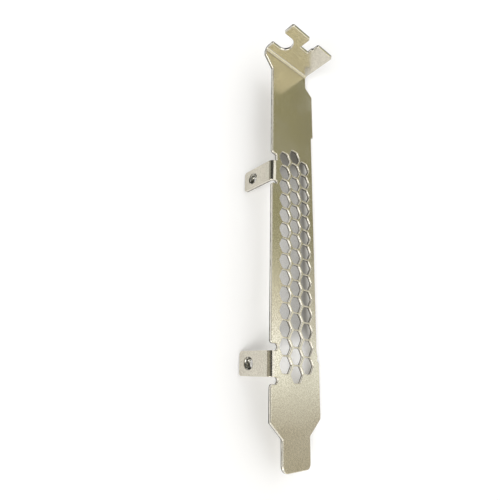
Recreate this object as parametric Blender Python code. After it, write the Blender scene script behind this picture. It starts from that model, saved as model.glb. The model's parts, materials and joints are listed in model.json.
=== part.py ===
"""Full-height bracket of an expansion card, folded from one plated steel sheet.

The sheet is drawn flat, as it leaves the press: x runs across the strip from its left edge, y runs
along it from the end of the tongue, and z is 0 on the outer face and minus the thickness on the
inner one. The flange is then folded forward, the two tabs are folded back, and the finished piece is
laid down as it rests on a table: on the ends of its tabs and on the strip's right edge.
"""
import math
from typing import NamedTuple

import bmesh
import bpy
from mathutils import Matrix, Vector

MM = 0.001

# Strip
THICKNESS = 0.86 * MM
LENGTH = 120.02 * MM
STRIP_WIDTH = 18.42 * MM

# Tongue at the bottom end
TONGUE_WIDTH = 10.0 * MM
TONGUE_INSET = 4.15 * MM
TONGUE_LENGTH = 7.49 * MM
SHOULDER_RISE = 3.8 * MM
TONGUE_LEFT_RADIUS = 1.9 * MM
TONGUE_RIGHT_RADIUS = 1.4 * MM
SHOULDER_RADIUS = 0.4 * MM

# Stretch of the right edge that is cut back, with the burr of the carrier strip at its lower end
CUT_BACK_START = 25.45 * MM
CUT_BACK_LENGTH = 71.2 * MM
CUT_BACK_DEPTH = 0.87 * MM
CUT_BACK_RAMP = 0.8 * MM
NUB_RISE = 0.45 * MM
NUB_HALF_LENGTH = 0.95 * MM

# Neck under the flange, measured down from the top of the bracket
NECK_INSET = 3.1 * MM
NECK_DROP = 5.25 * MM
NECK_RAMP = 2.2 * MM
EAR_REACH = 3.1 * MM
EAR_DROP = 2.8 * MM
EAR_RAMP = 3.6 * MM
EAR_RADIUS = 0.35 * MM

# Flange, with places measured forward from the strip's outer face
FLANGE_DEPTH = 11.43 * MM
FLANGE_BEND_RADIUS = 0.9 * MM
FLANGE_CORNER_RADIUS = 0.8 * MM
SLOT_WIDTH = 4.9 * MM
SLOT_MIDDLE = 5.35 * MM
SLOT_END = 2.42 * MM
SLOT_MOUTH_RADIUS = 0.4 * MM
NOTCH_LEFT = 4.48 * MM
NOTCH_WIDTH = 3.32 * MM
NOTCH_FLOOR = 7.5 * MM
NOTCH_STEP = 0.4 * MM
NOTCH_STEP_START = 9.05 * MM
NOTCH_RADIUS = 0.25 * MM
HEAD_RADIUS = 0.6 * MM

# Tabs, folded back from the left edge, with a relief notch above and below each
LOWER_TAB_MIDDLE = 24.79 * MM
UPPER_TAB_MIDDLE = 78.3 * MM
TAB_WIDTH = 6.42 * MM
TAB_BEND_RADIUS = 0.8 * MM
TAB_CORNER_RADIUS = 0.8 * MM
LOWER_RELIEF_DEPTH = 2.45 * MM
LOWER_RELIEF_ABOVE = 1.65 * MM
LOWER_RELIEF_BELOW = 1.6 * MM
UPPER_RELIEF_DEPTH = 1.95 * MM
UPPER_RELIEF_ABOVE = 2.25 * MM
UPPER_RELIEF_BELOW = 0.95 * MM
RELIEF_INNER_RADIUS = 0.7 * MM
RELIEF_OUTER_RADIUS = 0.8 * MM

# Screw hole of each tab, drawn back from a rolled mouth into a collar on the tab's inner side
TAB_HOLE_DEPTH = 8.5 * MM
TAB_BEYOND_HOLE = 3.75 * MM
TAB_HOLE_DIAMETER = 2.6 * MM
HOLE_MOUTH_RADIUS = 0.7 * MM
COLLAR_WALL = 0.45 * MM
COLLAR_HEIGHT = 0.9 * MM

# Vent: columns of hexagons with a flat side up, each column half a pitch off its neighbour
HEX_PITCH = 4.536 * MM
HEX_WEB = 0.48 * MM
HEX_CORNER_RADIUS = 0.7 * MM
COLUMN_EXTRA = 0.286 * MM
VENT_OFFSET = 0.265 * MM
VENT_START = 22.265 * MM
VENT_ROWS = 15
VENT_EDGE_METAL = 2.0 * MM

# Drawing
ARC_STEP = math.radians(20)
HEX_ARC_STEP = math.radians(30)
BEND_SEGMENTS = 6
HOLE_SEGMENTS = 28
MOUTH_SEGMENTS = 4
SHARP_ANGLE = math.radians(30)
TOLERANCE = 0.001 * MM


class Tab(NamedTuple):
    """Place of one tab's middle along the strip, and the sizes of its relief notches."""

    middle: float
    relief_depth: float
    relief_above: float
    relief_below: float


TABS = (
    Tab(LOWER_TAB_MIDDLE, LOWER_RELIEF_DEPTH, LOWER_RELIEF_ABOVE, LOWER_RELIEF_BELOW),
    Tab(UPPER_TAB_MIDDLE, UPPER_RELIEF_DEPTH, UPPER_RELIEF_ABOVE, UPPER_RELIEF_BELOW),
)


def bend_length(inner_radius):
    """Length of sheet taken up by a right-angled bend, along the middle of its thickness."""
    return (inner_radius + THICKNESS / 2) * math.pi / 2


# How far the tabs reach behind the strip's outer face, and where each bend starts on the flat strip
TAB_DEPTH = TAB_HOLE_DEPTH + TAB_BEYOND_HOLE
FLANGE_FOLD = LENGTH - THICKNESS - FLANGE_BEND_RADIUS
TAB_FOLD = THICKNESS + TAB_BEND_RADIUS


def flange_place(forward):
    """Place along the flat sheet of a point this far forward of the strip's outer face."""
    return FLANGE_FOLD + bend_length(FLANGE_BEND_RADIUS) + forward - FLANGE_BEND_RADIUS


def tab_place(back):
    """Place across the flat sheet of a point this far behind the strip's outer face."""
    return TAB_FOLD - bend_length(TAB_BEND_RADIUS) - (back - TAB_FOLD)


def rounded(corners, step=ARC_STEP):
    """Outline through (x, y, radius) corners, with each corner turned into an arc."""
    outline = []
    for index, (x, y, radius) in enumerate(corners):
        corner = Vector((x, y))
        to_last = Vector(corners[index - 1][:2]) - corner
        to_next = Vector(corners[(index + 1) % len(corners)][:2]) - corner
        turn = math.pi - to_last.angle(to_next)
        reach = min(radius * math.tan(turn / 2), to_last.length / 2, to_next.length / 2)
        if reach < TOLERANCE:
            outline.append(corner)
            continue
        start = corner + to_last.normalized() * reach
        end = corner + to_next.normalized() * reach
        true_radius = reach / math.tan(turn / 2)
        inward = (to_last.normalized() + to_next.normalized()).normalized()
        centre = corner + inward * math.hypot(reach, true_radius)
        pieces = max(1, math.ceil(turn / step - TOLERANCE))
        side = (start - centre).cross(end - centre)
        for piece in range(pieces + 1):
            angle = math.copysign(turn, side) * piece / pieces
            outline.append(centre + Matrix.Rotation(angle, 2) @ (start - centre))
    return [
        point
        for index, point in enumerate(outline)
        if (point - outline[index - 1]).length > TOLERANCE
    ]


def tongue_corners():
    """Tongue and the shoulders that widen it to the strip, from the left end to the right."""
    right = TONGUE_INSET + TONGUE_WIDTH
    return [
        (0, TONGUE_LENGTH + SHOULDER_RISE, SHOULDER_RADIUS),
        (TONGUE_INSET, TONGUE_LENGTH, SHOULDER_RADIUS),
        (TONGUE_INSET, 0, TONGUE_LEFT_RADIUS),
        (right, 0, TONGUE_RIGHT_RADIUS),
        (right, TONGUE_LENGTH, SHOULDER_RADIUS),
        (STRIP_WIDTH, TONGUE_LENGTH + SHOULDER_RISE, SHOULDER_RADIUS),
    ]


def right_edge_corners():
    """Right edge from the tongue up to the neck, with its cut-back stretch and nub."""
    cut = STRIP_WIDTH - CUT_BACK_DEPTH
    low = CUT_BACK_START + CUT_BACK_RAMP
    end = CUT_BACK_START + CUT_BACK_LENGTH
    neck = LENGTH - NECK_DROP
    return [
        (STRIP_WIDTH, CUT_BACK_START, 0),
        (cut, low, 0),
        (cut + NUB_RISE, low + NUB_HALF_LENGTH, NUB_RISE),
        (cut, low + 2 * NUB_HALF_LENGTH, 0),
        (cut, end - CUT_BACK_RAMP, 0),
        (STRIP_WIDTH, end, 0),
        (STRIP_WIDTH, neck - NECK_RAMP, SHOULDER_RADIUS),
        (STRIP_WIDTH - NECK_INSET, neck, SHOULDER_RADIUS),
    ]


def flange_corners():
    """Flange from its right edge round to the ear on its left, then the neck's left side."""
    right = STRIP_WIDTH - NECK_INSET
    outer = flange_place(FLANGE_DEPTH)
    floor = flange_place(NOTCH_FLOOR)
    step = flange_place(NOTCH_STEP_START)
    notch_right = NOTCH_LEFT + NOTCH_WIDTH
    slot_low = flange_place(SLOT_MIDDLE - SLOT_WIDTH / 2)
    slot_high = flange_place(SLOT_MIDDLE + SLOT_WIDTH / 2)
    ear = LENGTH - EAR_DROP
    return [
        (right, outer, FLANGE_CORNER_RADIUS),
        (notch_right + NOTCH_STEP, outer, HEAD_RADIUS),
        (notch_right + NOTCH_STEP, step + NOTCH_STEP, NOTCH_RADIUS),
        (notch_right, step, NOTCH_RADIUS),
        (notch_right, floor, NOTCH_RADIUS),
        (NOTCH_LEFT, floor, NOTCH_RADIUS),
        (NOTCH_LEFT, outer, HEAD_RADIUS),
        (-EAR_REACH, outer, HEAD_RADIUS),
        (-EAR_REACH, slot_high, SLOT_MOUTH_RADIUS),
        (SLOT_END, slot_high, SLOT_WIDTH / 2),
        (SLOT_END, slot_low, SLOT_WIDTH / 2),
        (-EAR_REACH, slot_low, SLOT_MOUTH_RADIUS),
        (-EAR_REACH, ear, EAR_RADIUS),
        (0, ear - EAR_RAMP, EAR_RADIUS),
    ]


def tab_corners(tab):
    """One tab with the relief notches above and below it, from the top down."""
    top = tab.middle + TAB_WIDTH / 2
    bottom = tab.middle - TAB_WIDTH / 2
    end = tab_place(TAB_DEPTH)
    return [
        (0, top + tab.relief_above, RELIEF_OUTER_RADIUS),
        (tab.relief_depth, top + tab.relief_above, RELIEF_INNER_RADIUS),
        (tab.relief_depth, top, RELIEF_INNER_RADIUS),
        (end, top, TAB_CORNER_RADIUS),
        (end, bottom, TAB_CORNER_RADIUS),
        (tab.relief_depth, bottom, RELIEF_INNER_RADIUS),
        (tab.relief_depth, bottom - tab.relief_below, RELIEF_INNER_RADIUS),
        (0, bottom - tab.relief_below, RELIEF_OUTER_RADIUS),
    ]


def sheet_outline():
    """Outer edge of the flat sheet."""
    corners = tongue_corners() + right_edge_corners() + flange_corners()
    for tab in sorted(TABS, reverse=True):
        corners += tab_corners(tab)
    return rounded(corners)


def hexagon(x, y):
    """Outline of one vent hole, with its flat sides facing along the strip."""
    flat = (HEX_PITCH - HEX_WEB) / 2
    corner_reach = flat / math.cos(math.pi / 6)
    corners = []
    for side in range(6):
        angle = side * math.pi / 3
        corner_x = x + corner_reach * math.cos(angle)
        corner_y = y + corner_reach * math.sin(angle)
        corners.append((corner_x, corner_y, HEX_CORNER_RADIUS))
    return rounded(corners, HEX_ARC_STEP)


def vent_holes():
    """Outlines of all the vent holes, in as many columns as leave metal beside them."""
    spacing = HEX_PITCH * math.cos(math.pi / 6) + COLUMN_EXTRA
    hole_width = (HEX_PITCH - HEX_WEB) / math.cos(math.pi / 6)
    room = STRIP_WIDTH - 2 * (VENT_EDGE_METAL + abs(VENT_OFFSET)) - hole_width
    columns = max(1, math.floor(room / spacing) + 1)
    left = STRIP_WIDTH / 2 + VENT_OFFSET - (columns - 1) * spacing / 2
    holes = []
    for column in range(columns):
        between = (column + columns // 2) % 2
        for row in range(VENT_ROWS - between):
            y = VENT_START + (row + between / 2) * HEX_PITCH
            holes.append(hexagon(left + column * spacing, y))
    return holes


def hole_rim(tab):
    """Outline of a tab's screw hole on the outer face, where its rolled mouth begins."""
    radius = TAB_HOLE_DIAMETER / 2 + HOLE_MOUTH_RADIUS
    middle = Vector((tab_place(TAB_HOLE_DEPTH), tab.middle))
    start = Vector((radius, 0))
    turns = [2 * math.pi * step / HOLE_SEGMENTS for step in range(HOLE_SEGMENTS)]
    return [middle + Matrix.Rotation(turn, 2) @ start for turn in turns]


def hole_profile():
    """Radius and height of the screw hole's wall, from its mouth round to the collar's foot."""
    bore = TAB_HOLE_DIAMETER / 2
    collar = bore + COLLAR_WALL
    collar_end = -THICKNESS - COLLAR_HEIGHT
    turns = [math.pi / 2 * step / MOUTH_SEGMENTS for step in range(MOUTH_SEGMENTS + 1)]
    mouth = [
        (bore + HOLE_MOUTH_RADIUS * (1 - math.sin(turn)), HOLE_MOUTH_RADIUS * (math.cos(turn) - 1))
        for turn in turns
    ]
    return mouth + [(bore, collar_end), (collar, collar_end), (collar, -THICKNESS)]


def add_loop(mesh, points):
    """Draw a closed loop of edges on the flat sheet."""
    verts = [mesh.verts.new((point.x, point.y, 0)) for point in points]
    return [mesh.edges.new((verts[index - 1], vert)) for index, vert in enumerate(verts)]


def fill_sheet(mesh):
    """Fill the flat sheet's outer face, with its vent and its two screw holes left open."""
    edges = add_loop(mesh, sheet_outline())
    for hole in vent_holes():
        edges += add_loop(mesh, hole)
    for tab in TABS:
        edges += add_loop(mesh, hole_rim(tab))
    bmesh.ops.triangle_fill(mesh, edges=edges, use_beauty=True, normal=(0, 0, 1))


def cut_across(mesh, faces, place, direction):
    """Cut these faces along a straight line through place, at right angles to direction."""
    edges = {edge for face in faces for edge in face.edges}
    verts = {vert for face in faces for vert in face.verts}
    geometry = list(faces) + list(edges) + list(verts)
    bmesh.ops.bisect_plane(mesh, geom=geometry, dist=TOLERANCE, plane_co=place, plane_no=direction)


def on_tab(point):
    """Whether a point of the flat sheet lies on one of the tabs."""
    beside = TAB_WIDTH / 2 + TOLERANCE
    return point.x < TAB_FOLD and any(abs(point.y - tab.middle) < beside for tab in TABS)


def score_bends(mesh):
    """Cut the flat sheet across each bend, so that it can follow the curve."""
    for step in range(BEND_SEGMENTS + 1):
        y = FLANGE_FOLD + bend_length(FLANGE_BEND_RADIUS) * step / BEND_SEGMENTS
        cut_across(mesh, mesh.faces[:], (0, y, 0), (0, 1, 0))
    cut_across(mesh, mesh.faces[:], (TAB_FOLD, 0, 0), (1, 0, 0))
    for step in range(1, BEND_SEGMENTS + 1):
        x = TAB_FOLD - bend_length(TAB_BEND_RADIUS) * step / BEND_SEGMENTS
        tab_faces = [face for face in mesh.faces if on_tab(face.calc_center_median())]
        cut_across(mesh, tab_faces, (x, 0, 0), (1, 0, 0))


def thicken(mesh):
    """Extrude the flat sheet's outer face to its inner side."""
    grown = bmesh.ops.extrude_face_region(mesh, geom=mesh.faces[:], use_keep_orig=True)
    verts = [item for item in grown["geom"] if isinstance(item, bmesh.types.BMVert)]
    bmesh.ops.translate(mesh, verts=verts, vec=(0, 0, -THICKNESS))


def turn_hole(mesh, tab):
    """Turn a tab's screw hole, with its rolled mouth, its bore and its collar."""
    middle = Vector((tab_place(TAB_HOLE_DEPTH), tab.middle, 0))
    profile = hole_profile()
    rim_radius = profile[0][0]
    foot_radius = profile[-1][0]
    rim = {vert for vert in mesh.verts if (vert.co - middle).xy.length < rim_radius + TOLERANCE}
    wall = [face for face in mesh.faces if rim.issuperset(face.verts)]
    bmesh.ops.delete(mesh, geom=wall, context="FACES")
    for vert in rim:
        if vert.co.z < -TOLERANCE:
            outward = (vert.co - middle).xy.normalized().to_3d()
            vert.co = middle + outward * foot_radius - Vector((0, 0, THICKNESS))
    verts = [mesh.verts.new(middle + Vector((radius, 0, height))) for radius, height in profile]
    edges = [mesh.edges.new(ends) for ends in zip(verts, verts[1:])]
    bmesh.ops.spin(
        mesh,
        geom=verts + edges,
        cent=middle,
        axis=(0, 0, 1),
        angle=2 * math.pi,
        steps=HOLE_SEGMENTS,
        use_merge=True,
    )
    bmesh.ops.remove_doubles(mesh, verts=mesh.verts[:], dist=TOLERANCE)


def fold_flange(point):
    """Place of a flat point once the flange is bent forward."""
    along = point.y - FLANGE_FOLD
    if along <= 0:
        return point
    bend = bend_length(FLANGE_BEND_RADIUS)
    turn = min(along / bend, 1) * math.pi / 2
    radius = FLANGE_BEND_RADIUS - point.z
    y = FLANGE_FOLD + radius * math.sin(turn)
    z = FLANGE_BEND_RADIUS - radius * math.cos(turn) + max(along - bend, 0)
    return Vector((point.x, y, z))


def fold_tab(point):
    """Place of a flat point once its tab is bent back."""
    if not on_tab(point):
        return point
    across = TAB_FOLD - point.x
    bend = bend_length(TAB_BEND_RADIUS)
    turn = min(across / bend, 1) * math.pi / 2
    radius = TAB_FOLD + point.z
    x = TAB_FOLD - radius * math.sin(turn)
    z = radius * math.cos(turn) - TAB_FOLD - max(across - bend, 0)
    return Vector((x, point.y, z))


def lay_down(mesh):
    """Tip the piece on to its tabs and its right edge, with its footprint centred on the origin."""
    tilt = math.atan2(TAB_DEPTH - THICKNESS, STRIP_WIDTH - THICKNESS)
    bmesh.ops.rotate(mesh, verts=mesh.verts[:], matrix=Matrix.Rotation(tilt, 3, "Y"))
    low = Vector([min(vert.co[axis] for vert in mesh.verts) for axis in range(3)])
    high = Vector([max(vert.co[axis] for vert in mesh.verts) for axis in range(3)])
    middle = (low + high) / 2
    bmesh.ops.translate(mesh, verts=mesh.verts[:], vec=(-middle.x, -middle.y, -low.z))


def plated_steel():
    """Warm satin nickel plate."""
    material = bpy.data.materials.new("plated_steel")
    material.use_nodes = True
    shader = material.node_tree.nodes["Principled BSDF"]
    shader.inputs["Base Color"].default_value = (0.66, 0.62, 0.52, 1)
    shader.inputs["Metallic"].default_value = 1.0
    shader.inputs["Roughness"].default_value = 0.3
    return material


def build_bracket():
    """Press, fold and lay down the bracket."""
    sheet = bmesh.new()
    fill_sheet(sheet)
    score_bends(sheet)
    thicken(sheet)
    for tab in TABS:
        turn_hole(sheet, tab)
    for vert in sheet.verts:
        vert.co = fold_tab(fold_flange(vert.co.copy()))
    lay_down(sheet)
    bmesh.ops.triangulate(sheet, faces=sheet.faces[:])
    bmesh.ops.recalc_face_normals(sheet, faces=sheet.faces[:])
    mesh = bpy.data.meshes.new("bracket")
    sheet.to_mesh(mesh)
    sheet.free()
    mesh.materials.append(plated_steel())
    mesh.shade_smooth()
    mesh.set_sharp_from_angle(angle=SHARP_ANGLE)
    bracket = bpy.data.objects.new("bracket", mesh)
    bpy.context.collection.objects.link(bracket)


for old in list(bpy.data.objects):
    bpy.data.objects.remove(old, do_unlink=True)
build_bracket()
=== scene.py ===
"""Dresses a full-height expansion card bracket: its rolled rims, cut threads, plated finish and studio."""

import json
import logging
import math
from dataclasses import dataclass
from enum import Enum
from typing import Callable, Optional

import bmesh
import bpy
from mathutils import Matrix, Vector
from mathutils.bvhtree import BVHTree


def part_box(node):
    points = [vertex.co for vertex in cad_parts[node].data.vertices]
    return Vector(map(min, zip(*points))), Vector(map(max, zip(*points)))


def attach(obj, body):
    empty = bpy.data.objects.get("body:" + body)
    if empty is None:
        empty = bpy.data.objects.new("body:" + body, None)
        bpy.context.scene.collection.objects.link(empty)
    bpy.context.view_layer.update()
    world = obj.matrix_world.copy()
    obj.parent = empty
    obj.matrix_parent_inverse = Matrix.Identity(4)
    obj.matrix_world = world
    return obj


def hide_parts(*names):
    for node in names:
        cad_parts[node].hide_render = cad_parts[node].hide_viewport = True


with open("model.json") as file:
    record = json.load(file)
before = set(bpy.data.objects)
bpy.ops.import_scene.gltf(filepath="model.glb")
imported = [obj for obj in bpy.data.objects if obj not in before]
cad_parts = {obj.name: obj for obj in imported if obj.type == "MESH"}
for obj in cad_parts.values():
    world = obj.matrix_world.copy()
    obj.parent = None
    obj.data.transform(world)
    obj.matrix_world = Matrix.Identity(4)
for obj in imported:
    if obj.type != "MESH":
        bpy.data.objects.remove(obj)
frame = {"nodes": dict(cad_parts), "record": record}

MM = 0.001
BODY = "root"
NODE = "bracket"

Pair = tuple[float, float]
Triple = tuple[float, float, float]
Colour = Triple
Stops = tuple[tuple[float, Colour], ...]
Socket = bpy.types.NodeSocket

# How far behind the strip's outer face the tabs' screw holes are, in millimetres
HOLE_DEPTH = 8.5
# The attribute that says how deep a point is in the sheet, from 0 in front to 1 behind
DEPTH = "depth_in_sheet"
# The least thickness that a depth is divided by
LEAST = 1e-9
WHITE: Colour = (1.0, 1.0, 1.0)

log = logging.getLogger("bracket")


class Face(Enum):
    """The kinds of face on the pressed sheet, by their place among its materials."""

    PLATED = 0
    SHEARED = 1
    TAPPED = 2


class Tab(Enum):
    """The two folded tabs, by how far each one's screw hole stands from the tongue's end, in millimetres."""

    LOWER = 24.79
    UPPER = 78.3


@dataclass(frozen=True)
class StripFrame:
    """The strip's own directions, so that places read as on a drawing of the flat sheet.

    Attributes:
        corner: The point at the strip's left edge, level with the tongue's end, on its outer face.
        across: From the tabs' edge to the other edge.
        along: From the tongue to the flange.
        outward: Straight out of the strip's outer face.
    """

    corner: Vector
    across: Vector
    along: Vector
    outward: Vector

    @classmethod
    def from_record(cls, record: dict) -> "StripFrame":
        """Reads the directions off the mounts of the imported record.

        Args:
            record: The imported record, with its mounts.

        Returns:
            The strip's frame.
        """
        mounts = {mount["name"]: mount for mount in record["mounts"]}
        face = mounts["panel_face"]
        tab = mounts["lower_tab_face"]
        outward = Vector(face["axis"]).normalized()
        across = -Vector(tab["axis"]).normalized()
        along = outward.cross(across)
        low_end = Vector(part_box(NODE)[0])
        corner = (
            across * Vector(tab["pos_m"]).dot(across)
            + along * low_end.dot(along)
            + outward * Vector(face["pos_m"]).dot(outward)
        )
        return cls(corner, across, along, outward)

    def place(self, point: Vector) -> Triple:
        """Returns how far a point is across, along and outward, in millimetres."""
        reach = (point - self.corner) / MM
        return reach.dot(self.across), reach.dot(self.along), reach.dot(self.outward)

    def point(self, across: float, along: float, outward: float) -> Vector:
        """Returns the point that far across, along and outward, given in millimetres."""
        return self.corner + (self.across * across + self.along * along + self.outward * outward) * MM


class Bench:
    """One piece on the bench, in edit mode: its faces and edges are picked by a test and then worked on."""

    def __init__(self, piece: bpy.types.Object) -> None:
        """Keeps the piece that is worked on."""
        self.piece = piece

    def __enter__(self) -> "Bench":
        """Makes the piece the only one selected and opens it.

        Returns:
            The bench.
        """
        bpy.ops.object.select_all(action="DESELECT")
        self.piece.select_set(True)
        bpy.context.view_layer.objects.active = self.piece
        bpy.ops.object.mode_set(mode="EDIT")
        return self

    def __exit__(self, *problem: object) -> None:
        """Closes the piece."""
        bpy.ops.object.mode_set(mode="OBJECT")

    def mesh(self) -> bmesh.types.BMesh:
        """Returns the mesh as it is now."""
        return bmesh.from_edit_mesh(self.piece.data)

    def pick_faces(self, test: Callable[[bmesh.types.BMFace], bool]) -> None:
        """Selects the faces that pass a test, and no others.

        Args:
            test: Says whether a face is wanted.
        """
        bpy.ops.mesh.select_mode(type="FACE")
        bpy.ops.mesh.select_all(action="DESELECT")
        mesh = self.mesh()
        mesh.faces.index_update()
        for face in [face for face in mesh.faces if test(face)]:
            face.select_set(True)
        bmesh.update_edit_mesh(self.piece.data)

    def pick_edges(self, test: Callable[[bmesh.types.BMEdge], bool]) -> None:
        """Selects the edges that pass a test, and no others.

        Args:
            test: Says whether an edge is wanted.
        """
        bpy.ops.mesh.select_mode(type="EDGE")
        bpy.ops.mesh.select_all(action="DESELECT")
        mesh = self.mesh()
        mesh.edges.index_update()
        for edge in [edge for edge in mesh.edges if test(edge)]:
            edge.select_set(True)
        bmesh.update_edit_mesh(self.piece.data)

    def picked_edges(self) -> set[int]:
        """Looks up which edges are selected.

        Returns:
            Their numbers.
        """
        mesh = self.mesh()
        mesh.edges.index_update()
        return {edge.index for edge in mesh.edges if edge.select}

    def round_edges(self, reach: float, segments: int) -> None:
        """Rounds the selected edges over.

        Args:
            reach: How far the rounding reaches from the edge, in metres.
            segments: The strips that it is made of.
        """
        bpy.ops.mesh.bevel(
            offset=reach,
            offset_type="OFFSET",
            segments=segments,
            profile=0.5,
            affect="EDGES",
            clamp_overlap=False,
            loop_slide=True,
            material=Face.PLATED.value,
        )


@dataclass
class PressedSheet:
    """The whole folded sheet, its front rims rolled over by the punch and its back edges barely broken.

    Lengths are in millimetres and angles in degrees. A lean is the cosine between two directions.

    Attributes:
        strip: The strip's own directions.
        sheet: How thick the sheet is.
        outline_roll: How far the rolled rim of the outline reaches.
        vent_roll: How far the rolled rims of the vent's holes reach.
        back_break: How far the broken edges at the back reach.
        roll_segments: The strips that a rolled rim is made of.
        weld: How close together points are joined.
        flat_angle: The greatest angle between triangles that are joined into one face.
        bend_step: The greatest angle between faces that follow one another round a bend.
        smooth_angle: The greatest angle between faces that are shaded as one.
        flat_area: How large a face is at least to count as a flat, in square millimetres.
        square: The least lean of faces that count as square to the strip, or as shaded the same way.
        facing: The least lean of a face that lies flat on one side of the strip.
        level_slack: How far such a face may be off that side.
        rim_slack: How far off the outer face an edge on it may be.
        rim_leans: The greatest lean of a hole's wall and the least lean of the outer face beside it.
        tapped_radius: How far from a screw hole's axis the tap has cut.
        collar_reach: How far from that axis the hole's collar reaches.
        vent_across: Where the vent starts and ends across the strip.
        vent_along: Where the vent starts and ends along the strip.
    """

    strip: StripFrame
    sheet: float = 0.86
    outline_roll: float = 0.24
    vent_roll: float = 0.2
    back_break: float = 0.06
    roll_segments: int = 3
    weld: float = 0.0001
    flat_angle: float = 0.5
    bend_step: float = 35.0
    smooth_angle: float = 40.0
    flat_area: float = 5.0
    square: float = 0.99998
    facing: float = 0.999
    level_slack: float = 0.02
    rim_slack: float = 0.01
    rim_leans: Pair = (0.1, 0.99)
    tapped_radius: float = 1.74
    collar_reach: float = 2.4
    vent_across: Pair = (1.8, 17.0)
    vent_along: Pair = (19.0, 90.0)

    def build(self, node: bpy.types.Object) -> bpy.types.Object:
        """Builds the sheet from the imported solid.

        Args:
            node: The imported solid, which is copied and left as it is.

        Returns:
            The finished sheet, without its materials.
        """
        piece = self.copy(node)
        with Bench(piece) as bench:
            self.clean(bench)
            front = self.sort_faces(bench, 0.0)
            back = self.sort_faces(bench, -self.sheet)
            self.mark_bores(bench)
            self.roll_front(bench)
            self.break_back(bench)
            self.weld_points()
        self.keep_depth(piece, front, back)
        self.smooth(piece)
        return piece

    def copy(self, node: bpy.types.Object) -> bpy.types.Object:
        """Copies the solid, with a mesh of its own.

        Args:
            node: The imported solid.

        Returns:
            The copy, with an empty place for each kind of face.
        """
        piece = node.copy()
        piece.data = node.data.copy()
        piece.name = "pressed_sheet"
        piece.data.name = "pressed_sheet"
        piece.parent = None
        piece.matrix_world = Matrix.Identity(4)
        bpy.context.scene.collection.objects.link(piece)
        piece.data.materials.clear()
        for _ in Face:
            piece.data.materials.append(None)
        return piece

    def clean(self, bench: Bench) -> None:
        """Joins the loose triangles into whole faces, and marks all of them as cut walls for now.

        Args:
            bench: The sheet on the bench.
        """
        self.weld_points()
        bpy.ops.mesh.customdata_custom_splitnormals_clear()
        bpy.ops.mesh.dissolve_limited(angle_limit=math.radians(self.flat_angle), delimit={"NORMAL"})
        for face in bench.mesh().faces:
            face.material_index = Face.SHEARED.value
        bmesh.update_edit_mesh(bench.piece.data)

    def weld_points(self) -> None:
        """Joins the points that lie on one another."""
        bpy.ops.mesh.select_all(action="SELECT")
        bpy.ops.mesh.remove_doubles(threshold=self.weld * MM)

    def pick_side(self, bench: Bench, level: float) -> None:
        """Selects one side of the sheet, round all of its bends.

        Args:
            bench: The sheet on the bench.
            level: How far outward that side of the strip is, in millimetres.
        """
        way = 1.0 if level > -self.sheet / 2 else -1.0
        mesh = bench.mesh()
        mesh.faces.index_update()
        candidates = [face for face in mesh.faces if self.on_level(face, level, way)]
        largest = max(candidates, key=lambda face: face.calc_area()).index
        bench.pick_faces(lambda face: face.index == largest)
        bpy.ops.mesh.faces_select_linked_flat(sharpness=math.radians(self.bend_step))

    def on_level(self, face: bmesh.types.BMFace, level: float, way: float) -> bool:
        """Tells the flat faces on one side of the strip from the others.

        Args:
            face: Any face of the sheet.
            level: How far outward that side of the strip is, in millimetres.
            way: 1 for the outer side and -1 for the inner one.

        Returns:
            Whether the face is one of them.
        """
        height = self.strip.place(face.calc_center_median())[2]
        facing = face.normal.dot(self.strip.outward) * way > self.facing
        return facing and abs(height - level) < self.level_slack

    def sort_faces(self, bench: Bench, level: float) -> BVHTree:
        """Marks one side of the sheet as plated.

        Args:
            bench: The sheet on the bench.
            level: How far outward that side of the strip is, in millimetres.

        Returns:
            That side as it was before its rims are rolled, to measure from.
        """
        self.pick_side(bench, level)
        points: list[Vector] = []
        faces: list[list[int]] = []
        for face in bench.mesh().faces:
            if face.select:
                face.material_index = Face.PLATED.value
                faces.append(list(range(len(points), len(points) + len(face.verts))))
                points.extend(corner.co.copy() for corner in face.verts)
        bmesh.update_edit_mesh(bench.piece.data)
        return BVHTree.FromPolygons(points, faces)

    def from_hole(self, point: Vector) -> float:
        """Returns how far a point is from the axis of the nearer screw hole, in millimetres."""
        _, along, outward = self.strip.place(point)
        return min(math.hypot(along - tab.value, outward + HOLE_DEPTH) for tab in Tab)

    def mark_bores(self, bench: Bench) -> None:
        """Marks the walls of the two screw holes and the inner part of their mouths as cut by a tap.

        Args:
            bench: The sheet on the bench.
        """
        for face in bench.mesh().faces:
            if max(self.from_hole(corner.co) for corner in face.verts) < self.tapped_radius:
                # These faces take the tapped finish, whose dark colour is painted shade
                face.material_index = Face.TAPPED.value
        bmesh.update_edit_mesh(bench.piece.data)

    def near_screw_hole(self, edge: bmesh.types.BMEdge) -> bool:
        """Returns whether an edge belongs to the collar of a tab's screw hole."""
        return self.from_hole((edge.verts[0].co + edge.verts[1].co) / 2) < self.collar_reach

    def in_vent(self, edge: bmesh.types.BMEdge) -> bool:
        """Tells the outer edges of the vent from the others.

        Args:
            edge: Any edge of the sheet.

        Returns:
            Whether it lies on the strip's outer face, within the vent.
        """
        for corner in edge.verts:
            across, along, outward = self.strip.place(corner.co)
            inside = self.vent_across[0] < across < self.vent_across[1]
            inside = inside and self.vent_along[0] < along < self.vent_along[1]
            if not inside or abs(outward) > self.rim_slack:
                return False
        return True

    def vent_rim(self, edge: bmesh.types.BMEdge) -> bool:
        """Tells the front rims of the vent's holes from the other edges.

        Args:
            edge: Any edge of the sheet.

        Returns:
            Whether it parts the outer face from the wall of one of the vent's holes.
        """
        if not self.in_vent(edge) or len(edge.link_faces) != 2:
            return False
        leans = [abs(face.normal.dot(self.strip.outward)) for face in edge.link_faces]
        return max(leans) > self.rim_leans[1] and min(leans) < self.rim_leans[0]

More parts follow.
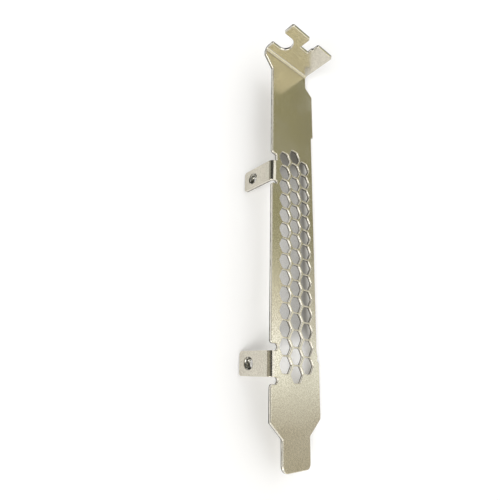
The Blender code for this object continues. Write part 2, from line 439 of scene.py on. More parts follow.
    def roll_front(self, bench: Bench) -> None:
        """Rolls the front rims over: first the sheet's outline, then the vent's holes.

        Args:
            bench: The sheet on the bench.
        """
        self.pick_side(bench, 0.0)
        bpy.ops.mesh.region_to_loop()
        rim = bench.picked_edges()
        bench.pick_edges(
            lambda edge: edge.index in rim and not self.in_vent(edge) and not self.near_screw_hole(edge)
        )
        bench.round_edges(self.outline_roll * MM, self.roll_segments)
        bench.pick_edges(self.vent_rim)
        bench.round_edges(self.vent_roll * MM, self.roll_segments)

    def break_back(self, bench: Bench) -> None:
        """Breaks the sharp edges on the back of the sheet.

        Args:
            bench: The sheet on the bench.
        """
        self.pick_side(bench, -self.sheet)
        bpy.ops.mesh.region_to_loop()
        rim = bench.picked_edges()
        bench.pick_edges(lambda edge: edge.index in rim and not self.near_screw_hole(edge))
        bench.round_edges(self.back_break * MM, 1)

    def keep_depth(self, piece: bpy.types.Object, front: BVHTree, back: BVHTree) -> None:
        """Writes how deep each point is in the sheet for the finishes, from 0 in front to 1 behind.

        Args:
            piece: The sheet.
            front: Its outer side, as it was before the rims were rolled.
            back: Its inner side, likewise.
        """
        mesh = piece.data
        depth = mesh.attributes.new(name=DEPTH, type="FLOAT", domain="POINT")
        for vertex in mesh.vertices:
            to_front = front.find_nearest(vertex.co)[3]
            to_back = back.find_nearest(vertex.co)[3]
            depth.data[vertex.index].value = to_front / max(to_front + to_back, LEAST)

    def smooth(self, piece: bpy.types.Object) -> None:
        """Shades the bends and rims as round, and keeps the flats flat up to their last edge.

        Args:
            piece: The sheet.
        """
        bpy.ops.object.select_all(action="DESELECT")
        piece.select_set(True)
        bpy.context.view_layer.objects.active = piece
        bpy.ops.object.shade_smooth_by_angle(angle=math.radians(self.smooth_angle))
        mesh = piece.data
        meeting: list[list[int]] = [[] for _ in mesh.vertices]
        for face in mesh.polygons:
            for corner in face.vertices:
                meeting[corner].append(face.index)
        turned = [Vector((0.0, 0.0, 0.0)) for _ in mesh.loops]
        for face in mesh.polygons:
            for loop in face.loop_indices:
                others = meeting[mesh.loops[loop].vertex_index]
                turned[loop] = self.corner_normal(mesh, face, others)
        self.part_corners(mesh, turned)
        mesh.normals_split_custom_set([tuple(normal) for normal in turned])

    def part_corners(self, mesh: bpy.types.Mesh, turned: list[Vector]) -> None:
        """Makes an edge sharp where the faces beside it are shaded in different ways at one of its ends.

        Args:
            mesh: The sheet's mesh.
            turned: The normal of each of its corners.
        """
        ends: dict[tuple[int, int], Vector] = {}
        for face in mesh.polygons:
            loops = list(face.loop_indices)
            for loop, following in zip(loops, loops[1:] + loops[:1]):
                edge = mesh.loops[loop].edge_index
                for corner in (loop, following):
                    key = (edge, mesh.loops[corner].vertex_index)
                    if key in ends and ends[key].dot(turned[corner]) < self.square:
                        mesh.edges[edge].use_edge_sharp = True
                    ends[key] = turned[corner]

    def corner_normal(
        self, mesh: bpy.types.Mesh, face: bpy.types.MeshPolygon, others: list[int]
    ) -> Vector:
        """Works out how a face's corner is shaded: as the largest flat face that it runs smoothly into.

        Args:
            mesh: The sheet's mesh.
            face: The face that the corner belongs to.
            others: The faces that meet at the corner.

        Returns:
            The corner's normal.
        """
        smooth = [
            mesh.polygons[other]
            for other in others
            if mesh.polygons[other].normal.angle(face.normal, 0.0) < math.radians(self.smooth_angle)
        ]
        flats = [other for other in smooth if self.is_flat(other)]
        if flats:
            return max(flats, key=lambda other: other.area).normal.copy()
        total = Vector((0.0, 0.0, 0.0))
        for other in smooth:
            total += other.normal * other.area
        return total.normalized()

    def is_flat(self, face: bpy.types.MeshPolygon) -> bool:
        """Tells the sheet's flats from its bends and rims.

        Args:
            face: Any face of the sheet.

        Returns:
            Whether it is a flat, which is large or square to the strip.
        """
        ways = (self.strip.across, self.strip.along, self.strip.outward)
        square = max(abs(face.normal.dot(way)) for way in ways) > self.square
        return square or face.area > self.flat_area * MM * MM


@dataclass
class HoleThread:
    """The thread in a tab's screw hole: one ridge wound round the bore.

    Lengths are in millimetres.

    Attributes:
        strip: The strip's own directions.
        tab: The tab that has the hole.
        bore_radius: The hole's radius.
        ridge: How far the ridge stands into the hole.
        root: How far its foot is sunk into the wall.
        pitch: How far it climbs in a turn.
        foot_share: Half of the foot's width, as a share of the pitch.
        turns: How often it goes round.
        starts_at: How far across, from the tab's outer face, it starts.
        steps: The straight pieces in a turn.
        smooth_angle: The greatest angle between faces that are shaded as one, in degrees.
    """

    strip: StripFrame
    tab: Tab
    bore_radius: float = 1.3
    ridge: float = 0.16
    root: float = 0.05
    pitch: float = 0.5
    foot_share: float = 0.42
    turns: float = 2.0
    starts_at: float = 0.72
    steps: int = 28
    smooth_angle: float = 50.0

    def build(self) -> bpy.types.Object:
        """Builds the ridge by winding its profile round the hole's axis.

        Returns:
            The finished thread, without its material.
        """
        piece = self.profile()
        self.wind(piece)
        with Bench(piece):
            bpy.ops.mesh.select_all(action="SELECT")
            bpy.ops.mesh.fill_holes(sides=3)
            bpy.ops.mesh.normals_make_consistent(inside=False)
        bpy.ops.object.shade_smooth_by_angle(angle=math.radians(self.smooth_angle))
        middle = self.strip.point(0.0, self.tab.value, -HOLE_DEPTH)
        turned = Matrix((self.strip.along, self.strip.outward, self.strip.across)).transposed().to_4x4()
        piece.data.transform(Matrix.Translation(middle) @ turned)
        return piece

    def profile(self) -> bpy.types.Object:
        """Lays out the ridge's cut end, beside an upright axis.

        Returns:
            The three-cornered profile.
        """
        bpy.ops.object.select_all(action="DESELECT")
        bpy.ops.mesh.primitive_circle_add(vertices=3, radius=self.ridge * MM, fill_type="NOTHING")
        piece = bpy.context.object
        piece.name = f"{self.tab.name.lower()}_hole_thread"
        piece.data.name = piece.name
        foot = self.bore_radius + self.root
        half = self.pitch * self.foot_share
        corners = ((foot, -half), (foot, half), (self.bore_radius - self.ridge, 0.0))
        for vertex, (radius, height) in zip(piece.data.vertices, corners):
            vertex.co = Vector((radius, 0.0, self.starts_at + height)) * MM
        return piece

    def wind(self, piece: bpy.types.Object) -> None:
        """Winds the profile round the upright axis.

        Args:
            piece: The profile, which becomes the ridge, open at both ends.
        """
        winding = piece.modifiers.new("winding", "SCREW")
        winding.axis = "Z"
        winding.angle = math.tau * self.turns
        winding.screw_offset = self.pitch * self.turns * MM
        winding.steps = round(self.steps * self.turns)
        winding.render_steps = winding.steps
        winding.use_merge_vertices = False
        bpy.ops.object.modifier_apply(modifier=winding.name)


class Nodes:
    """A material's, group's or world's nodes, added and joined in few words."""

    # The places of the sockets that a name alone doesn't find
    FROM_LOW, FROM_HIGH, TO_LOW, TO_HIGH = 1, 2, 3, 4
    MIX_SHARE, MIX_FIRST, MIX_SECOND, MIX_RESULT = 0, 6, 7, 2

    def __init__(self, tree: bpy.types.NodeTree) -> None:
        """Keeps the tree, emptied."""
        self.tree = tree
        tree.nodes.clear()

    @classmethod
    def of_material(cls, name: str) -> tuple[bpy.types.Material, "Nodes"]:
        """Starts a material.

        Args:
            name: The material's name.

        Returns:
            The material and its nodes, of which there are none yet.
        """
        material = bpy.data.materials.new(name)
        material.use_nodes = True
        return material, cls(material.node_tree)

    def put(self, socket: Socket, value: object) -> None:
        """Sets a socket.

        Args:
            socket: The socket.
            value: A number, a colour, or an output to join to it.
        """
        if isinstance(value, Socket):
            self.tree.links.new(value, socket)
        elif isinstance(value, tuple):
            socket.default_value = (*value, 1.0)
        else:
            socket.default_value = value

    def add(self, kind: str, inputs: Optional[dict] = None, **settings: object) -> bpy.types.Node:
        """Adds a node.

        Args:
            kind: The node's type.
            inputs: What goes into its sockets, by name or place: a number, a colour, or an output to join.
            settings: The node's own settings.

        Returns:
            The node.
        """
        node = self.tree.nodes.new(kind)
        for name, value in settings.items():
            setattr(node, name, value)
        for key, value in (inputs or {}).items():
            self.put(node.inputs[key], value)
        return node

    def maths(self, operation: str, first: object, second: object, clamp: bool = False) -> Socket:
        """Returns the result of a sum on two values or outputs."""
        node = self.add("ShaderNodeMath", {0: first, 1: second}, operation=operation, use_clamp=clamp)
        return node.outputs[0]

    def span(self, value: Socket, ends: Pair, becomes: Pair) -> Socket:
        """Carries a value smoothly from one range to another.

        Args:
            value: The output to carry over.
            ends: Where the range starts and ends.
            becomes: What the value becomes there.

        Returns:
            The new value.
        """
        node = self.add(
            "ShaderNodeMapRange",
            {
                "Value": value,
                self.FROM_LOW: ends[0],
                self.FROM_HIGH: ends[1],
                self.TO_LOW: becomes[0],
                self.TO_HIGH: becomes[1],
            },
            interpolation_type="SMOOTHSTEP",
        )
        return node.outputs[0]

    def rise(self, value: Socket, ends: Pair) -> Socket:
        """Returns a share that rises from 0 at the first end to 1 at the second."""
        return self.span(value, ends, (0.0, 1.0))

    def fall(self, value: Socket, ends: Pair) -> Socket:
        """Returns a share that falls from 1 at the first end to 0 at the second."""
        return self.span(value, ends, (1.0, 0.0))

    def blend(self, share: Socket, first: object, second: object) -> Socket:
        """Mixes two colours.

        Args:
            share: How much of the second colour there is.
            first: A colour or an output.
            second: A colour or an output.

        Returns:
            The mixed colour.
        """
        node = self.add(
            "ShaderNodeMix",
            {self.MIX_SHARE: share, self.MIX_FIRST: first, self.MIX_SECOND: second},
            data_type="RGBA",
            blend_type="MIX",
        )
        return node.outputs[self.MIX_RESULT]

    def noise(self, place: Socket, scale: object, detail: float, **shape: float) -> Socket:
        """Adds a noise pattern.

        Args:
            place: Where the point is.
            scale: How many patches there are in a metre.
            detail: How many finer layers lie over them.
            shape: The roughness and the distortion, where they aren't as usual.

        Returns:
            The noise, from 0 to 1.
        """
        inputs = {"Vector": place, "Scale": scale, "Detail": detail}
        inputs.update({name.capitalize(): value for name, value in shape.items()})
        return self.add("ShaderNodeTexNoise", inputs).outputs[0]

    def effect(self, group: bpy.types.NodeTree, amount: float) -> bpy.types.Node:
        """Places one of the shared effects.

        Args:
            group: The effect's group.
            amount: The value of its one input.

        Returns:
            The group's node.
        """
        node = self.add("ShaderNodeGroup", node_tree=group)
        node.inputs[0].default_value = amount
        return node

    def depth(self) -> Socket:
        """Returns how deep a point is in the sheet, from 0 in front to 1 behind."""
        return self.add("ShaderNodeAttribute", attribute_name=DEPTH).outputs["Fac"]

    def steel(self, colour: Socket, rough: Socket, height: Socket, bump: float) -> None:
        """Ends a material as bare metal.

        Args:
            colour: The metal's colour.
            rough: How rough it is.
            height: The relief of its grain, from 0 to 1.
            bump: How high that relief is, in millimetres.
        """
        bumps = self.add("ShaderNodeBump", {"Strength": 1.0, "Distance": bump * MM, "Height": height})
        shader = self.add(
            "ShaderNodeBsdfPrincipled",
            {"Base Color": colour, "Roughness": rough, "Metallic": 1.0, "Normal": bumps.outputs[0]},
        )
        self.add("ShaderNodeOutputMaterial", {"Surface": shader.outputs[0]})


class SharedEffects:
    """Shader groups that more than one finish uses, each built once."""

    GRAIN = "satin_grain"
    HAZE = "handling_haze"
    # How much finer the second layer of grain is, and how much each layer counts
    FINER = 2.7
    COARSE_SHARE = 0.65
    FINE_SHARE = 0.35
    # Between which values of the noise the speckle and the haze set in
    SPECKLE_ENDS = (0.36, 0.64)
    HAZE_ENDS = (0.38, 0.66)

    @classmethod
    def grain(cls) -> bpy.types.NodeTree:
        """Gives the fine grain of the metal: a speckle for the colour and a height for the bumps.

        Returns:
            The group, whose input is how many grains there are in a metre.
        """
        if cls.GRAIN in bpy.data.node_groups:
            return bpy.data.node_groups[cls.GRAIN]
        tree = cls.start(cls.GRAIN, "Grains per metre", ("Speckle", "Height"))
        nodes = Nodes(tree)
        scale = nodes.add("NodeGroupInput").outputs[0]
        place = nodes.add("ShaderNodeTexCoord").outputs["Object"]
        coarse = nodes.noise(place, scale, 2.0, roughness=0.6)
        fine = nodes.noise(place, nodes.maths("MULTIPLY", scale, cls.FINER), 1.0, roughness=0.5)
        height = nodes.maths("MULTIPLY", coarse, cls.COARSE_SHARE)
        height = nodes.maths("ADD", height, nodes.maths("MULTIPLY", fine, cls.FINE_SHARE))
        speckle = nodes.rise(height, cls.SPECKLE_ENDS)
        nodes.add("NodeGroupOutput", {"Speckle": speckle, "Height": height})
        return tree

    @classmethod
    def haze(cls) -> bpy.types.NodeTree:
        """Gives the broad faint haze that handling leaves: a mask for the colour and the gloss.

        Returns:
            The group, whose input is how many patches there are in a metre.
        """
        if cls.HAZE in bpy.data.node_groups:
            return bpy.data.node_groups[cls.HAZE]
        tree = cls.start(cls.HAZE, "Patches per metre", ("Haze",))
        nodes = Nodes(tree)
        scale = nodes.add("NodeGroupInput").outputs[0]
        place = nodes.add("ShaderNodeTexCoord").outputs["Object"]
        patches = nodes.noise(place, scale, 3.0, roughness=0.55, distortion=0.4)
        nodes.add("NodeGroupOutput", {"Haze": nodes.rise(patches, cls.HAZE_ENDS)})
        return tree

    @staticmethod
    def start(name: str, given: str, results: tuple[str, ...]) -> bpy.types.NodeTree:
        """Starts a group with its sockets.

        Args:
            name: The group's name.
            given: The name of its input.
            results: The names of its outputs.

        Returns:
            The group.
        """
        tree = bpy.data.node_groups.new(name, "ShaderNodeTree")
        tree.interface.new_socket(given, in_out="INPUT", socket_type="NodeSocketFloat")
        for result in results:
            tree.interface.new_socket(result, in_out="OUTPUT", socket_type="NodeSocketFloat")
        return tree


@dataclass(frozen=True)
class PlatedSteel:
    """Warm satin nickel plate: finely speckled, a little hazy where it has been handled, with polished rims
    that are lighter partly as a painted highlight.

    Attributes:
        name: The material's name.
        base: The colour between the specks.
        speck: The colour of the specks.
        dull: The colour of the haze.
        rim: The colour of the polished rims, lighter partly as a painted highlight.
        grains: How many grains there are in a metre.
        patches: How many patches of haze there are in a metre.
        haze_share: How strongly the haze colours the plate.
        rim_depth: Between which depths in the sheet the plate turns into a polished rim.
        rim_share: How strongly the rim's colour, partly a painted highlight, shows.
        gloss: How rough the clean plate and the haze are.
        rim_gloss: How rough a rim is.
        bump: How high the grain is, in millimetres.
    """

    name: str = "satin_nickel_plate"
    base: Colour = (0.485, 0.453, 0.383)
    speck: Colour = (0.695, 0.662, 0.572)
    dull: Colour = (0.55, 0.52, 0.44)
    # Partly a painted highlight: the rims' lighter colour
    rim: Colour = (0.78, 0.75, 0.67)
    grains: float = 3000.0
    patches: float = 55.0
    haze_share: float = 0.45
    rim_depth: Pair = (0.01, 0.10)
    rim_share: float = 0.8
    gloss: Pair = (0.19, 0.25)
    rim_gloss: float = 0.12
    bump: float = 0.0006

    def make(self) -> bpy.types.Material:
        """Makes the finish.

        Returns:
            Its material.
        """
        material, nodes = Nodes.of_material(self.name)
        grain = nodes.effect(SharedEffects.grain(), self.grains)
        haze = nodes.effect(SharedEffects.haze(), self.patches).outputs["Haze"]
        tone = nodes.blend(grain.outputs["Speckle"], self.base, self.speck)
        colour = nodes.blend(nodes.maths("MULTIPLY", haze, self.haze_share), tone, self.dull)
        # Rim: real polish lowers the roughness; its lighter colour is partly a painted highlight
        rim = nodes.rise(nodes.depth(), self.rim_depth)
        colour = nodes.blend(nodes.maths("MULTIPLY", rim, self.rim_share), colour, self.rim)
        rough = nodes.span(haze, (0.0, 1.0), self.gloss)
        polish = nodes.maths("MULTIPLY", rim, self.gloss[0] - self.rim_gloss)
        rough = nodes.maths("SUBTRACT", rough, polish)
        nodes.steel(colour, rough, grain.outputs["Height"], self.bump)
        return material


@dataclass(frozen=True)
class ShearedEdge:
    """The cut walls: a bright burnished band below the rim and a rougher torn band behind it, whose
    near-black colour is partly painted shade.

    Attributes:
        name: The material's name.
        burnished: The colour of the smooth band.
        torn: The colour of the torn band, darkened partly as painted shade.
        tear_starts: Between which depths in the sheet the one turns into the other.
        wander: How far that border strays, as a share of the sheet.
        grains: How many grains there are in a metre.
        patches: How many stretches of the border stray in a metre.
        mottle: How strongly the grain darkens the wall.
        gloss: How rough the smooth and the torn band are.
        calm: How much of the relief the smooth band has.
        bump: How high the relief is, in millimetres.
    """

    name: str = "sheared_edge"
    burnished: Colour = (0.82, 0.79, 0.71)
    # Partly painted shade: the torn band's near-black colour
    torn: Colour = (0.12, 0.113, 0.095)
    tear_starts: Pair = (0.60, 0.72)
    wander: float = 0.12
    grains: float = 3000.0
    patches: float = 750.0
    mottle: float = 0.25
    gloss: Pair = (0.18, 0.45)
    calm: float = 0.25
    bump: float = 0.015

    def make(self) -> bpy.types.Material:
        """Makes the finish.

        Returns:
            Its material.
        """
        material, nodes = Nodes.of_material(self.name)
        grain = nodes.effect(SharedEffects.grain(), self.grains)
        haze = nodes.effect(SharedEffects.haze(), self.patches).outputs["Haze"]
        ragged = nodes.maths("ADD", nodes.depth(), nodes.maths("MULTIPLY", haze, self.wander))
        tear = nodes.rise(ragged, self.tear_starts)
        # Torn band: the real rough fracture zone, darkened partly as painted shade
        colour = nodes.blend(tear, self.burnished, self.torn)
        mottled = nodes.maths("MULTIPLY", grain.outputs["Speckle"], self.mottle)
        colour = nodes.blend(mottled, colour, self.torn)
        rough = nodes.span(tear, (0.0, 1.0), self.gloss)
        share = nodes.span(tear, (0.0, 1.0), (self.calm, 1.0))
        relief = nodes.maths("MULTIPLY", grain.outputs["Height"], share)
        nodes.steel(colour, rough, relief, self.bump)
        return material


@dataclass(frozen=True)
class TappedSteelPaintedShadeAndGlints:
    """Bare steel where the tap has cut through the plate, painted dark as the shade in the bore, with bright
    specks painted as glints on the thread.

    Attributes:
        name: The material's name.
        dark: The painted shade colour between the specks.
        light: The colour of the specks, which are painted glints.
        grains: How many grains there are in a metre.
        gloss: How rough the dark steel and the specks are.
        bump: How high the grain is, in millimetres.
    """

    name: str = "tapped_steel"
    # Painted shade: the bore's near-black colour; the specks' bright colour below is painted glints
    dark: Colour = (0.03, 0.029, 0.025)
    light: Colour = (0.60, 0.585, 0.53)
    grains: float = 2400.0
    gloss: Pair = (0.36, 0.16)
    bump: float = 0.008

    def make(self) -> bpy.types.Material:
        """Makes the finish.

        Returns:
            Its material.
        """
        material, nodes = Nodes.of_material(self.name)
        grain = nodes.effect(SharedEffects.grain(), self.grains)
        # Painted shade and painted glints, mixed by the grain
        colour = nodes.blend(grain.outputs["Speckle"], self.dark, self.light)
        rough = nodes.span(grain.outputs["Speckle"], (0.0, 1.0), self.gloss)
        nodes.steel(colour, rough, grain.outputs["Height"], self.bump)
        return material


@dataclass(frozen=True)
class StudioFloor:
    """A pale table that the bracket lies on, white where nothing shades it, with shade painted into it under
    the strip's middle.

    Attributes:
        radius: How far it reaches, in metres.
        sides: How many sides its round edge has.
        paper: Its colour in the open.
        fibre: The colour of its faint grain.
        fibres: How many patches of that grain there are in a metre.
        shade: The painted shade colour that the table takes close under a piece that covers it.
        near: How close a piece has to be for the painted shade.
        rays: How many looks are taken round each point for such a piece.
        covered: How open the table is above where the painted shade is full, and where it ends.
        left_end: Where the painted shade has ended at the left, and where it is whole.
        right_end: Up to where the painted shade is whole at the right, and where it has ended.
        lower_end: Where the painted shade has faded out towards the tongue's end, and where it starts to
            fade.
        glow: How much brighter than lit it looks in the open; the painted shade dims it too.
    """

    radius: float = 3.0
    sides: int = 96
    paper: Colour = (0.90, 0.90, 0.905)
    fibre: Colour = (0.88, 0.88, 0.89)
    fibres: float = 400.0
    # Painted shade: the table's colour close under the strip
    shade: Colour = (0.34, 0.33, 0.315)
    near: float = 13.0 * MM
    rays: int = 16
    covered: Pair = (0.44, 1.0)
    left_end: Pair = (-4.0 * MM, -1.5 * MM)
    right_end: Pair = (5.6 * MM, 7.2 * MM)
    lower_end: Pair = (-31.0 * MM, -23.0 * MM)
    glow: float = 0.12

    def build(self) -> bpy.types.Object:
        """Builds the floor with its material.

        Returns:
            The floor.
        """
        bpy.ops.object.select_all(action="DESELECT")
        bpy.ops.mesh.primitive_circle_add(vertices=self.sides, radius=self.radius, fill_type="NGON")
        floor = bpy.context.object
        floor.name = "studio_floor"
        floor.data.materials.append(self.make())
        return floor

    def make(self) -> bpy.types.Material:
        """Makes the floor's pale finish, with shade painted into its colour under the strip.

        Returns:
            Its material.
        """
        material, nodes = Nodes.of_material("pale_table")
        place = nodes.add("ShaderNodeTexCoord").outputs["Object"]
        # Painted shade: the table darkens where the strip lies close over its middle
        clear_of_painted_shade = self.painted_shade_clearance(nodes, place)
        plain = nodes.blend(nodes.noise(place, self.fibres, 2.0), self.paper, self.fibre)
        colour = nodes.blend(clear_of_painted_shade, self.shade, plain)
        matt = nodes.add("ShaderNodeBsdfDiffuse", {"Color": colour, "Roughness": 0.0})
        path = nodes.add("ShaderNodeLightPath")
        seen = nodes.maths("ADD", path.outputs["Is Camera Ray"], path.outputs["Is Glossy Ray"], clamp=True)
        seen = nodes.maths("ADD", seen, path.outputs["Is Transmission Ray"], clamp=True)
        # The glow dims under the painted shade as well
        strength = nodes.maths("MULTIPLY", nodes.maths("MULTIPLY", seen, self.glow), clear_of_painted_shade)
        white = nodes.add("ShaderNodeEmission", {"Color": WHITE, "Strength": strength})
        both = nodes.add("ShaderNodeAddShader", {0: matt.outputs[0], 1: white.outputs[0]})
        nodes.add("ShaderNodeOutputMaterial", {"Surface": both.outputs[0]})
        return material

    def painted_shade_clearance(self, nodes: Nodes, place: Socket) -> Socket:
        """Works out where shade is painted on the table: how open it is above, which counts only under the
        middle of the strip.

        Args:
            nodes: The material's nodes.
            place: Where on the table the point is.

        Returns:
            A share, from 0 where the table is covered and the painted shade is full to 1 where it is open.
        """
        # Painted shade: ambient occlusion under the strip, cut off at set places at the left, the right and
        # towards the tongue
        above = nodes.add("ShaderNodeAmbientOcclusion", {"Distance": self.near}, samples=self.rays)
        parts = nodes.add("ShaderNodeSeparateXYZ", {0: place})
        left = nodes.fall(parts.outputs["X"], self.left_end)
        right = nodes.rise(parts.outputs["X"], self.right_end)
        low = nodes.fall(parts.outputs["Y"], self.lower_end)
        outside = nodes.maths("MAXIMUM", nodes.maths("MAXIMUM", left, right), low)
        return nodes.maths("MAXIMUM", nodes.rise(above.outputs["AO"], self.covered), outside)


@dataclass(frozen=True)
class StudioSky:
    """The room round the bracket: warm low walls and a wide white panel on the right, dark on the left.

    Angles lie in the upright plane across the strip, from 0 at the right horizon over 90 overhead to 180 at
    the left horizon. Places lie along the strip, from -1 behind the tongue to 1 behind the flange.

    Attributes:
        low_wall: The wall's light just over the horizon, as places along the strip and colours.
        high_wall: The same a little higher.
        wall_angles: Between which angles the low wall turns into the high one.
        ceiling_angles: Between which angles the high wall turns into the ceiling.
        near_ceiling: The light over the walls by the lower tab and the tongue, as angles and colours.
        far_ceiling: The same by the upper tab and the flange.
        far_starts: Between which places the near ceiling turns into the far one.
        corner: The light of the wall's upper edge behind the tongue.
        corner_along: Between which places that light ends.
        corner_angles: Between which angles it ends.
        along_ends: The first and the last place.
        angle_ends: The first and the last angle.
    """

    low_wall: Stops = (
        (-0.75, (1.47, 1.43, 1.06)),
        (-0.50, (1.20, 1.15, 0.84)),
        (-0.38, (0.72, 0.67, 0.49)),
        (-0.20, (0.50, 0.45, 0.32)),
        (-0.14, (0.53, 0.48, 0.37)),
        (-0.10, (0.66, 0.61, 0.50)),
        (-0.05, (0.96, 0.96, 0.86)),
        (0.0, (1.27, 1.33, 1.25)),
        (0.02, (1.28, 1.33, 1.25)),
        (0.075, (0.78, 0.78, 0.71)),
        (0.15, (0.43, 0.41, 0.32)),
        (0.27, (0.26, 0.25, 0.17)),
        (0.36, (0.26, 0.24, 0.12)),
        (0.65, (0.26, 0.24, 0.12)),
    )
    high_wall: Stops = (
        (-0.75, (1.60, 1.56, 1.16)),
        (-0.50, (1.30, 1.25, 0.92)),
        (-0.38, (0.75, 0.70, 0.52)),
        (-0.20, (0.53, 0.48, 0.33)),
        (-0.14, (0.55, 0.50, 0.39)),
        (-0.095, (0.70, 0.64, 0.52)),
        (-0.05, (1.16, 1.15, 1.02)),
        (-0.01, (1.58, 1.61, 1.50)),
        (0.09, (1.82, 1.84, 1.78)),
        (0.125, (1.42, 1.38, 1.22)),
        (0.22, (1.12, 1.08, 0.85)),
        (0.30, (0.74, 0.72, 0.50)),
        (0.38, (0.52, 0.51, 0.30)),
        (0.65, (0.48, 0.46, 0.25)),
    )
    wall_angles: Pair = (3.0, 15.0)
    ceiling_angles: Pair = (17.0, 23.0)
    near_ceiling: Stops = (
        (16.0, (1.05, 1.03, 0.93)),
        (32.0, (1.50, 1.50, 1.46)),
        (79.0, (1.50, 1.50, 1.50)),
        (86.0, (0.03, 0.03, 0.03)),
        (97.0, (0.03, 0.03, 0.03)),
        (105.0, (0.05, 0.05, 0.04)),
        (118.0, (0.24, 0.22, 0.17)),
        (138.0, (0.46, 0.44, 0.37)),
        (153.0, (0.54, 0.515, 0.44)),
        (168.0, (0.44, 0.42, 0.36)),
        (180.0, (0.45, 0.43, 0.38)),
    )
    far_ceiling: Stops = (
        (16.0, (0.13, 0.12, 0.09)),
        (25.0, (0.10, 0.10, 0.08)),
        (32.0, (1.50, 1.50, 1.46)),
        (86.0, (1.50, 1.50, 1.50)),
        (93.0, (0.02, 0.02, 0.02)),
        (134.0, (0.03, 0.03, 0.02)),
        (146.0, (0.42, 0.42, 0.38)),
        (180.0, (0.50, 0.50, 0.45)),
    )
    far_starts: Pair = (0.08, 0.24)
    corner: Colour = (0.72, 0.67, 0.49)
    corner_along: Pair = (-0.26, -0.10)
    corner_angles: Pair = (26.0, 36.0)
    along_ends: Pair = (-1.0, 1.0)
    angle_ends: Pair = (0.0, 180.0)

    def build(self) -> bpy.types.World:
        """Builds the world.

        Returns:
            The world, set for the scene.
        """
        world = bpy.data.worlds.new("studio_room")
        bpy.context.scene.world = world
        world.use_nodes = True
        nodes = Nodes(world.node_tree)
        heading = nodes.add("ShaderNodeTexCoord").outputs["Generated"]
        parts = nodes.add("ShaderNodeSeparateXYZ", {0: heading})
        angle = nodes.maths("ARCTAN2", parts.outputs["Z"], parts.outputs["X"])
        angle = nodes.maths("MULTIPLY", angle, 180.0 / math.pi)
        light = self.light(nodes, angle, parts.outputs["Y"])
        lit = nodes.add("ShaderNodeBackground", {"Color": light, "Strength": 1.0})
        white = nodes.add("ShaderNodeBackground", {"Color": WHITE, "Strength": 1.0})
        path = nodes.add("ShaderNodeLightPath")
        seen = nodes.maths("ADD", path.outputs["Is Camera Ray"], path.outputs["Is Transmission Ray"])
        both = nodes.add("ShaderNodeMixShader", {0: seen, 1: lit.outputs[0], 2: white.outputs[0]})
        nodes.add("ShaderNodeOutputWorld", {"Surface": both.outputs[0]})
        return world

    def light(self, nodes: Nodes, angle: Socket, along: Socket) -> Socket:
        """Puts the walls, the ceiling and the corner together.

        Args:
            nodes: The world's nodes.
            angle: The angle across the strip.
            along: The place along the strip.

        Returns:
            The room's light in that direction.
        """
        place = nodes.maths("ADD", nodes.maths("MULTIPLY", along, 0.5), 0.5)
        low = self.ramp(nodes, place, self.low_wall, self.along_ends)
        high = self.ramp(nodes, place, self.high_wall, self.along_ends)
        wall = nodes.blend(nodes.rise(angle, self.wall_angles), low, high)
        turn = nodes.maths("DIVIDE", angle, self.angle_ends[1], clamp=True)
        near = self.ramp(nodes, turn, self.near_ceiling, self.angle_ends)
        far = self.ramp(nodes, turn, self.far_ceiling, self.angle_ends)
        ceiling = nodes.blend(nodes.rise(along, self.far_starts), near, far)
        over = nodes.rise(angle, self.ceiling_angles)
        light = nodes.blend(over, wall, ceiling)
        behind = nodes.fall(along, self.corner_along)
        edge = nodes.maths("MULTIPLY", nodes.fall(angle, self.corner_angles), over)
        return nodes.blend(nodes.maths("MULTIPLY", behind, edge), light, self.corner)

    def ramp(self, nodes: Nodes, share: Socket, stops: Stops, ends: Pair) -> Socket:
        """Carries the light evenly from stop to stop.

        Args:
            nodes: The world's nodes.
            share: Where the direction lies between the ends, from 0 to 1.
            stops: Places or angles and their colours.
            ends: The first and the last place or angle.

        Returns:
            The colour in that direction.
        """
        node = nodes.add("ShaderNodeValToRGB", {"Fac": share})
        band = node.color_ramp
        band.interpolation = "LINEAR"
        while len(band.elements) < len(stops):
            band.elements.new(1.0)
        for element, (place, colour) in zip(band.elements, stops):
            element.position = (place - ends[0]) / (ends[1] - ends[0])
            element.color = (*colour, 1.0)
        return node.outputs["Color"]


@dataclass(frozen=True)
class SideWindow:
    """Soft light from high on the left, before the tongue, which fills the shade beside the bracket.

    Attributes:
        way: Where the light comes from.
        spread: How wide the light is, in degrees.
        power: Its strength.
        colour: Its colour.
    """

    way: Triple = (-0.44, -0.60, 0.67)
    spread: float = 44.0
    power: float = 1.55
    colour: Colour = (1.0, 0.99, 0.98)

    def build(self) -> bpy.types.Object:
        """Builds the lamp, turned to the bracket.

        Returns:
            The lamp.
        """
        data = bpy.data.lights.new("side_window", "SUN")
        data.angle = math.radians(self.spread)
        data.energy = self.power
        data.color = self.colour
        lamp = bpy.data.objects.new("side_window", data)
        lamp.matrix_world = Vector(self.way).to_track_quat("Z", "Y").to_matrix().to_4x4()
        bpy.context.scene.collection.objects.link(lamp)
        return lamp


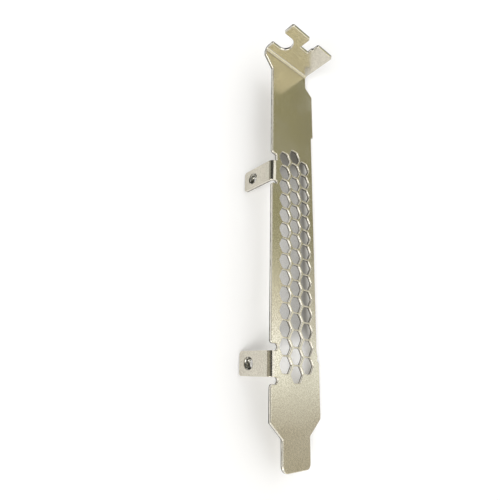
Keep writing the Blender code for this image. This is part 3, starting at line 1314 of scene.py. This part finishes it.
@dataclass(frozen=True)
class PhotoCamera:
    """The camera at the photograph's place and angle, fitted to the bracket's outline.

    Attributes:
        spot: Where it stands, in millimetres.
        sight: Where it looks.
        upward: Which way is up in its picture.
        lens: Its focal length, in millimetres.
        sensor: Its sensor's width, in millimetres.
        sees: The least and the greatest distance that it sees, in metres.
    """

    spot: Triple = (-25.312, -37.504, 107.168)
    sight: Triple = (0.1309, 0.3023, -0.9442)
    upward: Triple = (-0.0669, 0.9529, 0.2958)
    lens: float = 27.84
    sensor: float = 36.0
    sees: Pair = (1.0 * MM, 20.0)

    def build(self) -> bpy.types.Object:
        """Builds the camera and gives it to the scene.

        Returns:
            The camera.
        """
        data = bpy.data.cameras.new("photo_camera")
        data.lens = self.lens
        data.sensor_width = self.sensor
        data.sensor_fit = "HORIZONTAL"
        data.clip_start, data.clip_end = self.sees
        camera = bpy.data.objects.new("photo_camera", data)
        back = -Vector(self.sight).normalized()
        right = Vector(self.upward).cross(back).normalized()
        upward = back.cross(right)
        pose = Matrix((right, upward, back)).transposed().to_4x4()
        pose.translation = Vector(self.spot) * MM
        camera.matrix_world = pose
        bpy.context.scene.collection.objects.link(camera)
        bpy.context.scene.camera = camera
        return camera


@dataclass
class Bracket:
    """The whole bracket: its pressed sheet and the threads of its two tab holes."""

    strip: StripFrame

    def build(self) -> list[bpy.types.Object]:
        """Builds and dresses the pieces.

        Returns:
            The pieces of the bracket.
        """
        finishes = {
            Face.PLATED: PlatedSteel().make(),
            Face.SHEARED: ShearedEdge().make(),
            # The tapped finish paints shade into the screw holes and glints onto their threads
            Face.TAPPED: TappedSteelPaintedShadeAndGlints().make(),
        }
        sheet = PressedSheet(self.strip).build(frame["nodes"][NODE])
        for kind, finish in finishes.items():
            sheet.data.materials[kind.value] = finish
        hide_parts(NODE)
        pieces = [sheet]
        for tab in Tab:
            thread = HoleThread(self.strip, tab).build()
            # The thread takes the tapped finish, with its painted shade and glints
            thread.data.materials.append(finishes[Face.TAPPED])
            pieces.append(thread)
        for piece in pieces:
            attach(piece, BODY)
        return pieces


@dataclass
class Studio:
    """The floor, the room's light and the camera."""

    floor: StudioFloor = StudioFloor()
    sky: StudioSky = StudioSky()
    window: SideWindow = SideWindow()
    camera: PhotoCamera = PhotoCamera()

    def build(self) -> list[bpy.types.ID]:
        """Builds the studio and sets how the picture is viewed.

        Returns:
            What the studio has in it.
        """
        fittings = [self.floor.build(), self.sky.build(), self.window.build(), self.camera.build()]
        bpy.context.scene.view_settings.view_transform = "Standard"
        return fittings


def main() -> None:
    """Builds the bracket and its studio."""
    logging.basicConfig(level=logging.INFO, format="%(name)s: %(message)s")
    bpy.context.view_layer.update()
    strip = StripFrame.from_record(frame["record"])
    for piece in Bracket(strip).build():
        log.info("%s has %d faces", piece.name, len(piece.data.polygons))
    for fitting in Studio().build():
        log.info("%s is in place", fitting.name)


if __name__ == "__main__":
    main()
